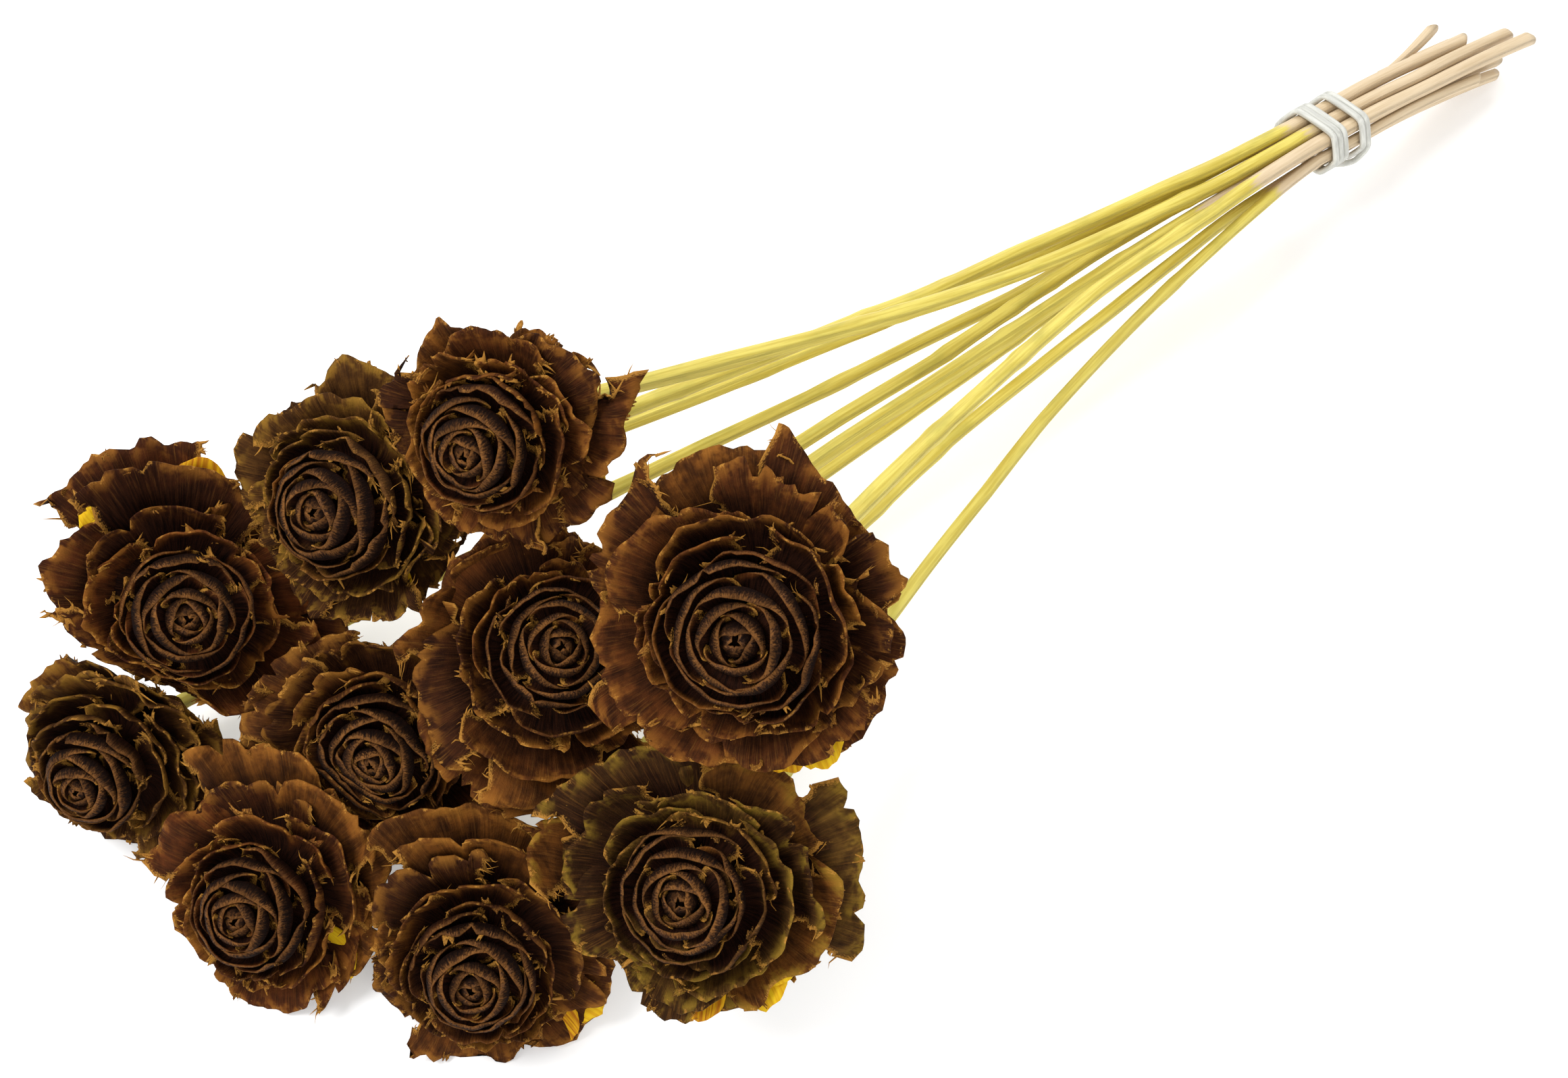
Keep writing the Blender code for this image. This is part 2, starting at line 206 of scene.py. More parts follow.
# One stem's end is split: by a notch, and by a thin prong that leaves it a few rings before its end.
FORKED = "stem_03"
NOTCH = 3.0 * MM
PRONG_LENGTH = 33 * MM
PRONG_RADIUS = 1.0 * MM
PRONG_TAPER = 0.25
PRONG_ANGLE = 0.14
PRONG_CURL = 0.8 * MM
PRONG_ROOT = 17
PRONG_RINGS = 14
PRONG_SIDES = 10

# The photograph's view: the camera's place, and the degrees that it is turned and looks down.
CAMERA_PLACE = Vector((-285.6, -242.8, 492)) * MM
CAMERA_TURN = -42.1
CAMERA_DIP = 55
LENS = 49.6
SENSOR = 36

# The studio: each lamp's place, size and power, and a bright sky over a floor that glows a little.
LAMPS = (
    ("key", (-0.9, 0.5, 1.5), 0.9, 22),
    ("fill", (-0.6, -1.3, 1.0), 1.2, 9),
    ("back", (1.1, 0.9, 1.2), 1.0, 12),
)
SKY_STRENGTH = 0.75
FLOOR_SIZE = 8
FLOOR_GLOW = 0.22


def cubic(points, share):
    """A point of a Bezier curve, for numbers or arrays of shares."""
    a, b, c, d = points
    rest = 1 - share
    return a * rest**3 + b * 3 * share * rest**2 + c * 3 * share**2 * rest + d * share**3


def smooth_step(low, high, value):
    share = np.clip((value - low) / (high - low), 0, 1)
    return share * share * (3 - 2 * share)


def unit(vectors):
    return vectors / (np.linalg.norm(vectors, axis=-1, keepdims=True) + 1e-12)


def circle(sides):
    """The angles of points round a circle."""
    return np.linspace(0, 2 * math.pi, sides, endpoint=False)


def ring_points(first, second, angles):
    """Points round circles that pairs of directions span, for one pair or for a row of them."""
    return first[..., None, :] * np.cos(angles)[:, None] + second[..., None, :] * np.sin(angles)[:, None]


def keep_off_floor(points):
    points[..., 2] = np.maximum(points[..., 2], FLOOR_GAP)
    return points


def slab_points(grid, half):
    """A slab's points: a grid moved by half the slab's thickness to its front, and then to its back."""
    return keep_off_floor(np.concatenate([(grid + half).reshape(-1, 3), (grid - half).reshape(-1, 3)]))


def rough_line(rng, shares, knots, octaves=3):
    """A jagged random line over shares from 0 to 1: each octave is twice as fine and half as high."""
    line = np.zeros_like(shares)
    for octave in range(octaves):
        count = knots * 2**octave
        heights = rng.normal(size=count + 1) / 2**octave
        line += np.interp(shares * count, np.arange(count + 1), heights)
    return line


def rose_axes(rose):
    """The rose's place, and its axes as columns: X to the right, Y up and Z out of its face."""
    azimuth, elevation = np.radians(rose.facing)
    level = math.cos(elevation)
    out = np.array((level * math.cos(azimuth), level * math.sin(azimuth), math.sin(elevation)))
    right = unit(np.cross(UP, out))
    return np.array(rose.place) * MM - MIDDLE, np.stack([right, np.cross(out, right), out], axis=1)


def rim_share(index):
    """How far a scale's rim reaches, as a share of the outer rim."""
    return max(1 - max(0, index - FULL_SCALES) / CLOSING_SCALES, 0.03) ** 1.15


def half_width(rim):
    """Half of a scale's width, in radians round its rose."""
    return math.radians(38 + 48 * (1 - rim))


def scale_points(rose, index, across, along):
    """Points on the middle surface of one scale, in the rose's own axes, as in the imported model."""
    jitter = np.random.default_rng([rose.seed, index % 1000]).normal(size=6)
    rim = rim_share(index)
    azimuth = math.radians(rose.long_scales[0][0]) + rose.turn * index * GOLDEN_ANGLE + 0.08 * jitter[0]
    longer = 0
    if index >= 0:
        for side, share in rose.long_scales:
            longer += share * max(0, math.cos(azimuth - math.radians(side))) ** 3
    start_radius = FOOT_RADIUS * rim + 0.05 * (1 - rim)
    start_height = min(CORE_BOTTOM + 0.11 + LAYER * index, rose.dome - 0.12)
    end_radius = rim * (1 + 0.04 * jitter[1]) + longer * rim**3
    end_height = rose.dome * (1 - rim**1.5) ** 0.9 + LAYER * min(index, FULL_SCALES) + 0.03 * jitter[2] * rim
    end_height -= 0.07 * smooth_step(0.2, 0.0, rim)
    start_angle = math.radians(6 + 62 * (1 - rim) ** 1.5)
    end_angle = math.radians(min(-8 + 190 * (1 - rim) ** 0.72, 150) + 8 * jitter[3] * rim)
    span = math.dist((start_radius, start_height), (end_radius, end_height))
    near, far = 0.42 * span, (0.38 + 0.5 * (1 - rim) ** 1.5) * span
    near_radius = start_radius + near * math.cos(start_angle)
    near_height = start_height + near * math.sin(start_angle)
    far_radius = end_radius - far * math.cos(end_angle)
    far_height = end_height - far * math.sin(end_angle)
    radii = (start_radius, near_radius, far_radius, end_radius)
    heights = (start_height, near_height, far_height, end_height)
    corner = 0.22 + 0.12 * (1 - rim)
    share = along * (1 - corner * np.abs(across) ** 2.4)
    ruffle = np.sin(across * (3.4 + jitter[4]) + 6 * jitter[5]) * along**2 * rim
    radius = cubic(radii, share) * (1 + 0.02 * ruffle)
    height = cubic(heights, share) + RUFFLE * ruffle
    fan = 0.55 + 0.45 * np.minimum(along / 0.5, 1)
    angle = azimuth + across * half_width(rim) * fan
    points = np.stack([radius * np.cos(angle), radius * np.sin(angle), height], axis=-1)
    return points * rose.radius * MM


def crowding_planes(rose):
    """The planes that a rose stays behind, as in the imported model: one for each near rose, and the table."""
    planes = []
    place, axes = rose_axes(rose)
    for other in ROSES:
        far_place, far_axes = rose_axes(other)
        span = far_place - place
        reach = (rose.radius + other.radius) * MM
        if other is rose or np.linalg.norm(span) > CROWDING_REACH * reach:
            continue
        facing = unit(axes[:, 2] + far_axes[:, 2])
        ahead = span @ facing
        aside = span - ahead * facing
        lean = np.clip(ahead / LEAN_DEPTH, -1, 1)
        normal = unit(unit(aside) + lean * facing)
        planes.append((place + span * rose.radius * MM / reach, normal, ROSE_CLEARANCE))
    return planes + [(np.zeros(3), -UP, TABLE_CLEARANCE)]


def bend_clear(points, planes):
    """Squeezes points past a plane in front of it, in their order: crowded scales bend and don't cross."""
    for place, normal, clearance in planes:
        inside = -(points - place) @ normal - clearance
        squeezed = SOFTNESS * np.exp(np.minimum(inside / SOFTNESS - 1, 0))
        shift = np.where(inside < SOFTNESS, squeezed - inside, 0)
        points = points - shift[..., None] * normal
    return points


class Pile:
    """Collects closed solids with their marks, and makes one mesh object of them."""

    def __init__(self):
        self.points = []
        self.faces = []
        self.slots = []
        self.marks = {}
        self.count = 0

    def add(self, points, faces, slot=0, **marks):
        """marks are numbers, or arrays with a value or a vector for each point."""
        self.points.append(points)
        self.faces += [[corner + self.count for corner in face] for face in faces]
        self.slots += [slot] * len(faces)
        self.count += len(points)
        for name, value in marks.items():
            value = np.asarray(value, dtype=float)
            if value.ndim == 0:
                value = np.full(len(points), float(value))
            self.marks.setdefault(name, []).append(value)

    def make(self, name, materials):
        mesh = bpy.data.meshes.new(name)
        mesh.from_pydata(np.concatenate(self.points).tolist(), [], self.faces)
        for mark, values in self.marks.items():
            values = np.concatenate(values)
            kind, field = ("FLOAT", "value") if values.ndim == 1 else ("FLOAT_VECTOR", "vector")
            mesh.attributes.new(mark, kind, "POINT").data.foreach_set(field, values.ravel())
        for material in materials:
            mesh.materials.append(material)
        mesh.polygons.foreach_set("material_index", self.slots)
        mesh.polygons.foreach_set("use_smooth", [True] * len(mesh.polygons))
        mesh.update()
        piece = bpy.data.objects.new(name, mesh)
        bpy.context.scene.collection.objects.link(piece)
        return piece


@functools.cache
def slab_faces(rows, columns):
    """Faces of a closed slab: a grid of points, the same grid again for its back, and the edge between."""
    back = rows * columns
    faces = []
    for row in range(rows - 1):
        for column in range(columns - 1):
            a = row * columns + column
            b = a + columns
            faces.append((a, b, b + 1, a + 1))
            faces.append((back + a + 1, back + b + 1, back + b, back + a))
    first_row = list(range(columns))
    last_column = [row * columns + columns - 1 for row in range(1, rows)]
    last_row = [(rows - 1) * columns + column for column in range(columns - 2, -1, -1)]
    first_column = [row * columns for row in range(rows - 2, 0, -1)]
    loop = first_row + last_column + last_row + first_column
    for here, there in zip(loop, loop[1:] + loop[:1]):
        faces.append((here, there, back + there, back + here))
    return faces


@functools.cache
def ring_faces(rings, sides, closed=False):
    """Faces of a tube of rings of points, with flat ends unless its last ring meets its first."""
    faces = []
    for ring in range(rings if closed else rings - 1):
        here, there = ring * sides, (ring + 1) % rings * sides
        for side in range(sides):
            after = (side + 1) % sides
            faces.append((here + side, here + after, there + after, there + side))
    if not closed:
        faces.append(tuple(range(sides - 1, -1, -1)))
        faces.append(tuple(range((rings - 1) * sides, rings * sides)))
    return faces


def tube_grain(around, along, layer):
    """The grain of a tube: how far round it, how far along it, and a number that sets it apart."""
    round_it, down_it = np.meshgrid(around, along)
    return np.stack([round_it, down_it, np.full_like(round_it, layer)], axis=-1).reshape(-1, 3)


def grid_normals(points):
    return unit(np.cross(np.gradient(points, axis=0), np.gradient(points, axis=1)))


def edge_distances(points):
    """Millimetres from each point of a grid to its rim, the last row, and to the nearer of its sides."""
    along = np.linalg.norm(np.diff(points, axis=0), axis=-1)
    across = np.linalg.norm(np.diff(points, axis=1), axis=-1)
    rows, columns = points.shape[:2]
    to_rim = np.zeros((rows, columns))
    to_rim[:-1] = np.cumsum(along[::-1], axis=0)[::-1]
    from_left = np.zeros((rows, columns))
    from_left[:, 1:] = np.cumsum(across, axis=1)
    return to_rim / MM, np.minimum(from_left, from_left[:, -1:] - from_left) / MM


def rim_bites(rng, line, rim):
    """How far the rim is bitten back over a scale's width: chips, and now and then a split or a corner."""
    share = (line + 1) / 2
    fray = 0.2 + 0.8 * smooth_step(0.3, 0.7, rim)
    bites = CHIPS * fray * np.abs(rough_line(rng, share, 7))
    bites += NICKS * fray * np.clip(rough_line(rng, share, 5, 2) - 0.5, 0, None)
    for _ in range(rng.integers(0, 4) if rim > SPLIT_FROM else 0):
        place, width = rng.uniform(-0.8, 0.8), rng.uniform(0.03, 0.10)
        bites += rng.uniform(*SPLITS) * np.clip(1 - np.abs(line - place) / width, 0, None)
    if rng.random() < 0.6 * rim:
        side = rng.choice((-1, 1))
        bites += rng.uniform(*LOST_CORNER) * smooth_step(0.3, 0.9, side * line)
    return bites


def make_scale(pile, rose, index, planes):
    """One ragged scale: a waved slab with torn sides, a bitten rim and slivers of wood along its sides."""
    place, axes = rose_axes(rose)
    rng = np.random.default_rng([rose.seed, index + 100, 1])
    rim = rim_share(index)
    size = rose.radius * MM
    columns = SCALE_COLUMNS + round(SCALE_COLUMNS * rim)
    rows = SCALE_ROWS + round(SCALE_ROWS * rim)
    line = np.linspace(-1, 1, columns)
    shares = np.linspace(0, 1, rows) ** 0.7
    across, along = np.meshgrid(line, shares)

    # The outline: an uneven fan with torn sides and a bitten rim.
    loose = smooth_step(0.45, 0.95, rim)
    left, right = rough_line(rng, shares, 7), rough_line(rng, shares, 7)
    sides = np.where(across < 0, left[:, None], right[:, None])
    torn = smooth_step(0.2, 0.6, along) * (0.3 + 0.7 * rim)
    wide = across * (1 + TORN_SIDES * (sides - 0.3) * np.abs(across) ** 5 * torn)
    wide = wide * (1 + loose * rng.uniform(-0.18, 0.10))
    corners = rng.uniform(0.0, ROUNDING) * np.abs(line) ** 2.4 + rng.uniform(-SLANT, SLANT) * line
    if rng.random() < 0.5:
        corners += rng.uniform(*POINTED_CORNER) * smooth_step(0.5, 0.95, rng.choice((-1, 1)) * line)
    long = along * (1 + (loose * corners - rim_bites(rng, line, rim))[None, :])
    if index < 0:
        long = long * UNDER_SCALE_LENGTH
    local = scale_points(rose, index, wide, long)

    # Its relief: a cupped and tilted blade, folds that run up it, and a crinkled rim.
    phase = rng.uniform(0, 2 * math.pi, 4)
    relief = rng.uniform(-CUPPING, CUPPING) * rim * across**2 * along
    relief += (TILT + LOOSE_TILT * loose) * rng.uniform(-1, 1) * rim * across * along
    relief += CURL * loose * rng.uniform(-1, 1) * along**2
    relief += BROAD_FOLDS * rim * np.sin(across * 7 + phase[0]) * along**2
    relief += NARROW_FOLDS * rim * np.sin(across * 15 + 2 * along + phase[1]) * along**3
    relief += CRINKLED_RIM * rough_line(rng, (line + 1) / 2, 9, 2)[None, :] * rim**1.5 * along**4
    side_waves = rough_line(rng, shares, 4, 2)[:, None] * np.abs(across) ** 3 * np.sign(across)
    relief += CRINKLED_SIDES * rim * side_waves
    points = bend_clear(local @ axes.T + place, planes)
    points = points + grid_normals(points) * (relief * size)[..., None]

    to_rim, to_side = edge_distances(points)
    blade = smooth_step(0, BLADE_FROM_EDGE, np.minimum(to_rim, to_side))
    thickness = EDGE_THICKNESS + BLADE_THICKNESS * blade + FOOT_THICKNESS * (1 - along)
    thickness = thickness * MM * (0.8 + 0.2 * rim)
    normals = grid_normals(points)
    both = slab_points(points, normals * thickness[..., None] / 2)

    # Its marks for the material: millimetres to its edges, its grain and its place in the rose.
    width = rose.radius * rim * half_width(rim)
    length = rose.radius * max(rim, 0.25)
    tone = rng.random()
    grain = np.stack([wide * width, long * length, np.full_like(wide, tone * 90)], axis=-1).reshape(-1, 3)
    pile.add(
        both, slab_faces(rows, columns), grain=np.tile(grain, (2, 1)),
        to_rim=np.tile(to_rim.ravel(), 2), to_side=np.tile(to_side.ravel(), 2),
        back=np.repeat([0.0, 1.0], rows * columns), tone=tone, reach=rim,
    )
    if rim > SPLIT_FROM:
        add_slivers(pile, rng, points, normals, tone, rim)
        add_flakes(pile, rng, points, normals, tone, rim)


def add_flakes(pile, rng, points, normals, tone, rim):
    """Torn, curled chips of the scale's skin that stand out along its sides and hang from its rim."""
    rows, columns = points.shape[:2]
    line = np.linspace(-1, 1, FLAKE_COLUMNS)
    across, along = np.meshgrid(line, np.linspace(0, 1, FLAKE_ROWS))
    for _ in range(rng.integers(3, 6 + round(7 * rim))):
        row = rng.integers(rows // 3, rows - 1)
        column = rng.choice((1, columns - 2))
        outward = unit(points[row, column] - points[row, columns // 2])
        if rng.random() < 0.3:
            row, column = rows - 2, rng.integers(2, columns - 2)
            outward = unit(points[row, column] - points[row - 2, column])
        normal = normals[row, column] * rng.choice((-1, 1))
        beside = np.cross(outward, normal)
        turn = rng.normal(0, 0.6)
        heading = outward * math.cos(turn) + beside * math.sin(turn)
        beside = np.cross(heading, normal)
        length = rng.uniform(*FLAKE_LENGTH) * MM
        width = rng.uniform(*FLAKE_WIDTH) * MM
        ragged = 1 - 0.5 * rng.random(line.size)
        reach = along * ragged[None, :]
        curl = rng.uniform(0.1, 0.9)
        taper = 1 - 0.5 * along * rng.random()
        sheet = points[row, column] + heading * ((reach - 0.25) * length)[..., None]
        sheet = sheet + beside * (across * taper * width)[..., None]
        sheet = sheet + normal * ((curl * reach**2 + 0.15 * across**2) * length)[..., None]
        both = slab_points(sheet, grid_normals(sheet) * SHEET_HALF)
        layer = np.full_like(across, row * 7.0)
        grain = np.stack([across * width / MM, reach * length / MM, layer], axis=-1)
        pile.add(
            both, slab_faces(FLAKE_ROWS, FLAKE_COLUMNS), grain=np.tile(grain.reshape(-1, 3), (2, 1)),
            to_rim=2.0, to_side=rng.uniform(0.2, 1.4), back=0.0, tone=tone, reach=rim,
        )


def add_slivers(pile, rng, points, normals, tone, rim):
    """Torn wood fibres that stand out of both sides of a scale: three rings of three points each."""
    rows = points.shape[0]
    for side in (0, -1):
        inner = 1 if side == 0 else -2
        count = rng.integers(4, 7 + round(14 * rim))
        for _ in range(count):
            row = rng.integers(rows // 3, rows - 1)
            share = rng.random()
            root = points[row, side] * (1 - share) + points[min(row + 1, rows - 1), side] * share
            outward = unit(points[row, side] - points[row, inner])
            onward = unit(points[min(row + 1, rows - 1), side] - points[row - 1, side])
            normal = normals[row, side]
            lean = rng.normal(0.5, 0.7)
            heading = unit(outward + lean * onward + rng.normal(0.15, 0.35) * normal)
            length = rng.gamma(2.0, SLIVER_LENGTH) * MM * (0.5 + 0.5 * rim)
            breadth = rng.uniform(*SLIVER_BREADTH) * MM
            if rng.random() < 0.25:
                breadth *= 2.2
            curl = rng.normal(0, 0.35, 2)
            bend = (curl[0] * normal + curl[1] * onward) * length
            middle = root + heading * length * 0.5 + bend * 0.3
            tip = root + heading * length + bend
            beside = unit(np.cross(heading, normal))
            start = root - outward * 0.5 * MM
            rings = []
            for centre, wide in ((start, 1.0), (middle, 0.7), (tip, 0.12)):
                rings.append(centre + beside * breadth * wide)
                rings.append(centre - beside * breadth * wide)
                rings.append(centre + normal * breadth * wide * 0.8)
            pile.add(
                keep_off_floor(np.array(rings)), ring_faces(3, 3), grain=np.zeros((9, 3)),
                to_rim=6.0, to_side=0.0, back=0.0, tone=tone, reach=rim,
            )


def make_wing(pile, rose, number, degrees, reach, planes):
    """A papery seed wing that shows between two outer scales."""
    place, axes = rose_axes(rose)
    rng = np.random.default_rng([rose.seed, number, 2])
    line = np.linspace(-1, 1, WING_COLUMNS)
    shares = np.linspace(0, 1, WING_ROWS)
    across, along = np.meshgrid(line, shares)
    angle = math.radians(degrees) + across * (0.08 + 0.20 * np.sin(along * 2.4))
    ragged = 1 - 0.03 * np.abs(rough_line(rng, (line + 1) / 2, 5, 2))[None, :]
    radius = 0.30 + (reach - 0.30) * along * (1 - 0.16 * across**2) * ragged
    height = -0.02 + 0.10 * along**2 + 0.03 * np.sin(across * 3 + number) * along
    local = np.stack([radius * np.cos(angle), radius * np.sin(angle), height], axis=-1) * rose.radius * MM
    points = bend_clear(local @ axes.T + place, planes)
    both = slab_points(points, grid_normals(points) * SHEET_HALF)
    grain = np.stack([across * 6, along * 18, np.full_like(across, number * 7)], axis=-1).reshape(-1, 3)
    pile.add(
        both, slab_faces(WING_ROWS, WING_COLUMNS), slot=1, grain=np.tile(grain, (2, 1)),
        to_rim=4.0, to_side=4.0, back=0.0, tone=rng.random(), reach=1.0,
    )


def make_core(pile, rose, stem):
    """The woody core that the scales grow from, with the socket for the stem in its foot."""
    place, axes = rose_axes(rose)
    rng = np.random.default_rng([rose.seed, 3])
    bottom = CORE_BOTTOM
    socket = (stem.radius * MM + 2 * FIT_GAP) / (rose.radius * MM)
    floor = bottom + SOCKET_DEPTH / (rose.radius * MM)
    profile = (
        (0.004, floor), (socket, floor), (socket, bottom), (CORE_RADIUS * 0.93, bottom),
        (CORE_RADIUS, bottom + 0.03), (CORE_RADIUS * 1.02, bottom + 0.16), (CORE_RADIUS, bottom + 0.35),
        (0.11, rose.dome * 0.40), (0.10, rose.dome * 0.80), (0.07, rose.dome * 0.93), (0.03, rose.dome),
        (0.004, rose.dome + 0.01),
    )
    bud = rose.dome * 0.9
    angles = circle(CORE_SIDES)
    rings = []
    for radius, height in profile:
        rough = 1 + (0.2 if height > bud else 0.04) * rng.normal(size=CORE_SIDES) * (height > floor)
        ring = np.stack([np.cos(angles) * radius * rough, np.sin(angles) * radius * rough], axis=-1)
        rings.append(np.column_stack([ring, np.full(CORE_SIDES, height)]))
    local = np.concatenate(rings) * rose.radius * MM
    grain = np.column_stack([np.tile(angles * 5, len(profile)), local[:, 2] / MM, np.zeros(len(local))])
    pile.add(
        local @ axes.T + place, ring_faces(len(profile), CORE_SIDES),
        to_rim=np.where(local[:, 2] > bud * rose.radius * MM, 2.0, 9.0),
        to_side=9.0, back=1.0, tone=0.3, reach=0.2, grain=grain,
    )


def tie_axes():
    """The tie's place, and its axes as columns: X along the stems, Y level and Z up across them."""
    axis = np.array(TIE_AXIS)
    side = unit(np.cross(UP, axis))
    return TIE_PLACE - MIDDLE, np.stack([axis, side, np.cross(axis, side)], axis=1)


def tie_point(local):
    place, axes = tie_axes()
    return place + axes @ np.asarray(local, dtype=float)


def slot_place(slot):
    row, place = slot
    across = place * SLOT_PITCH if row else place * SLOT_PITCH / 2
    return np.array((0, across, row * SLOT_PITCH * math.sqrt(3) / 2)) * MM


def stem_line(rose, stem):
    """The stem's centreline, and the metres along it from the tie: below zero on the roses' side."""
    place, axes = rose_axes(rose)
    tie = tie_axes()[1]
    bottom = CORE_BOTTOM * rose.radius * MM
    glued_end = place + axes[:, 2] * (bottom + SOCKET_DEPTH - FIT_GAP)
    leaving = place + axes[:, 2] * (bottom - 2 * MM)
    slot = slot_place(stem.slot)
    held = tie_point(slot + (HELD_FROM, 0, 0))
    span = np.linalg.norm(held - leaving)
    bow = tie @ (np.array((0, *stem.bow)) * MM)
    turned = leaving + unit(leaving - glued_end) * HEAD_HANDLE * span
    handles = (leaving, turned, held - tie[:, 0] * TIE_HANDLE * span + bow, held)
    points = [glued_end]
    points += [cubic(handles, share) for share in np.linspace(0, 1, HEAD_POINTS)]
    first_held = len(points) - 1
    behind = stem.butt * MM - HELD_TO
    sideways, upwards = stem.splay
    drop = BUTT_DROP * (behind / (BUTT_DROP_PLACE * MM)) ** 2
    spread = np.array((0, sideways, upwards - drop)) * MM
    for share in np.linspace(0, 1, BUTT_POINTS):
        points.append(tie_point(slot + (HELD_TO + behind * share, 0, 0) + spread * share**2))
    points = np.array(points)
    steps = np.linalg.norm(np.diff(points, axis=0), axis=1)
    reach = np.concatenate([[0], np.cumsum(steps)])
    return points, reach - reach[first_held] + HELD_FROM


def sweep_frames(points):
    """Directions along a line of points, and two directions across it that don't twist."""
    along = unit(np.gradient(points, axis=0))
    across = np.zeros_like(points)
    across[0] = unit(np.cross(along[0], UP))
    for i in range(1, len(points)):
        across[i] = unit(across[i - 1] - along[i] * (across[i - 1] @ along[i]))
    return along, across, np.cross(along, across)


def add_prong(pile, points, along, over, stem):
    """The thin prong of the forked stem."""
    root = len(points) - PRONG_ROOT
    side = unit(np.cross(along[root], UP))
    heading = unit(along[root] + PRONG_ANGLE * side)
    start = points[root] - side * 0.3 * stem.radius * MM
    shares = np.linspace(0, 1, PRONG_RINGS)
    centres = start + heading * (PRONG_LENGTH * shares)[:, None] + side * (PRONG_CURL * shares**2)[:, None]
    angles = circle(PRONG_SIDES)
    girth = PRONG_RADIUS * (1 - PRONG_TAPER * shares)
    solid = centres[:, None] + ring_points(side, over[root], angles) * girth[:, None, None]
    grain = tube_grain(angles * stem.radius, shares * PRONG_LENGTH / MM, 40.0)
    pile.add(solid.reshape(-1, 3), ring_faces(PRONG_RINGS, PRONG_SIDES), grain=grain, dyed=0.0, tone=0.5)


def make_stem(rose, stem, material):
    """A dried stem: fluted, with knots, a little crooked, and cut on a slant. One ends in a split fork."""
    rng = np.random.default_rng([rose.seed, 4])
    points, reach = stem_line(rose, stem)
    shares = (reach - reach[0]) / (reach[-1] - reach[0])
    along, across, over = sweep_frames(points)
    free = smooth_step(0.04, 0.2, shares) * smooth_step(12 * MM, 60 * MM, np.abs(reach))
    points = points + across * (CROOKED * free * rough_line(rng, shares, 7, 2))[:, None]
    points = points + over * (CROOKED * free * rough_line(rng, shares, 7, 2))[:, None]
    angles = circle(STEM_SIDES)
    flutes = 0.035 * np.sin(5 * angles + rng.uniform(0, 6)) + 0.025 * np.sin(3 * angles + rng.uniform(0, 6))
    girth = 1 + 0.03 * rough_line(rng, shares, 12, 2)
    for knot in rng.uniform(0.12, 0.62, KNOTS):
        girth += KNOT_SWELL * np.exp(-(((shares - knot) / KNOT_LENGTH) ** 2))
    if stem.name == FORKED:
        girth *= 1 - 0.45 * smooth_step(0.80, 0.90, shares) + 0.40 * smooth_step(0.92, 1.0, shares)
    radius = stem.radius * MM * girth[:, None] * (1 + flutes[None, :])
    solid = points[:, None] + ring_points(across, over, angles) * radius[..., None]

    # Its cut end: split by a notch where it forks, and otherwise slanted.
    slant = rng.uniform(0.2, 0.9)
    if stem.name == FORKED:
        solid[-1] += along[-1] * (NOTCH * np.abs(np.cos(angles)))[:, None]
    else:
        solid[-1] += along[-1] * (stem.radius * MM * slant * np.cos(angles + rng.uniform(0, 6)))[:, None]
    pile = Pile()
    pile.add(
        keep_off_floor(solid).reshape(-1, 3), ring_faces(len(points), STEM_SIDES),
        grain=tube_grain(angles * stem.radius, reach / MM, rose.seed * 11.0),
        dyed=np.repeat(smooth_step(10, -10, reach / MM - stem.dye_end), STEM_SIDES),
        tone=rng.random(),
    )
    if stem.name == FORKED:
        add_prong(pile, points, along, over, stem)
    return pile.make("dyed_" + stem.name, [material])


def band_point(turns, along, lift):
    """A point of the band's centreline, tight round the stems, so many turns round and so far along them."""
    angle = 2 * math.pi * turns
    out = np.array((0, math.cos(angle), math.sin(angle)))
    clear = [slot_place(stem.slot) + out * stem.radius * MM for stem in STEMS]
    corner = max(clear, key=lambda point: point @ out)
    return tie_point(corner + out * (BAND_GAP + BAND_RADIUS + lift) + (along, 0, 0))


def make_band(material):
    """One closed loop of rubber, wound in two groups of turns, with half a turn back over both."""
    pitch = 2 * BAND_RADIUS + FIT_GAP
    turns = FRONT_TURNS + BACK_TURNS
    points = []
    for step in range(round(turns * BAND_STEPS)):
        done = step / BAND_STEPS
        over_gap = GROUP_GAP * smooth_step(0, 0.5, done - FRONT_TURNS)
        points.append(band_point(done, done * pitch + over_gap, 0))
    way_back = (turns + 0.5) * pitch + GROUP_GAP
    for step in range(BAND_STEPS // 2):
        share = 2 * step / BAND_STEPS
        done = turns + share / 2
        lift = pitch * min(1, 4 * share, 4 * (1 - share))
        crossed = smooth_step(0.25, 0.75, share)
        points.append(band_point(done, done * pitch + GROUP_GAP - crossed * way_back, lift))
    points = np.array(points)
    for _ in range(3):
        points = (np.roll(points, 1, axis=0) + 2 * points + np.roll(points, -1, axis=0)) / 4
    along = unit(np.roll(points, -1, axis=0) - np.roll(points, 1, axis=0))
    axis = tie_axes()[1][:, 0]
    flat = unit(axis - along * (along @ axis)[:, None])
    rise = np.cross(along, flat)
    angles = circle(BAND_SIDES)
    ring = ring_points(flat * BAND_WIDTH, rise * BAND_HEIGHT, angles)
    solid = points[:, None] + ring * BAND_RADIUS
    faces = ring_faces(len(points), BAND_SIDES, closed=True)
    pile = Pile()
    pile.add(solid.reshape(-1, 3), faces, grain=tube_grain(angles, np.arange(len(points)), 0))
    return pile.make("wound_band", [material])


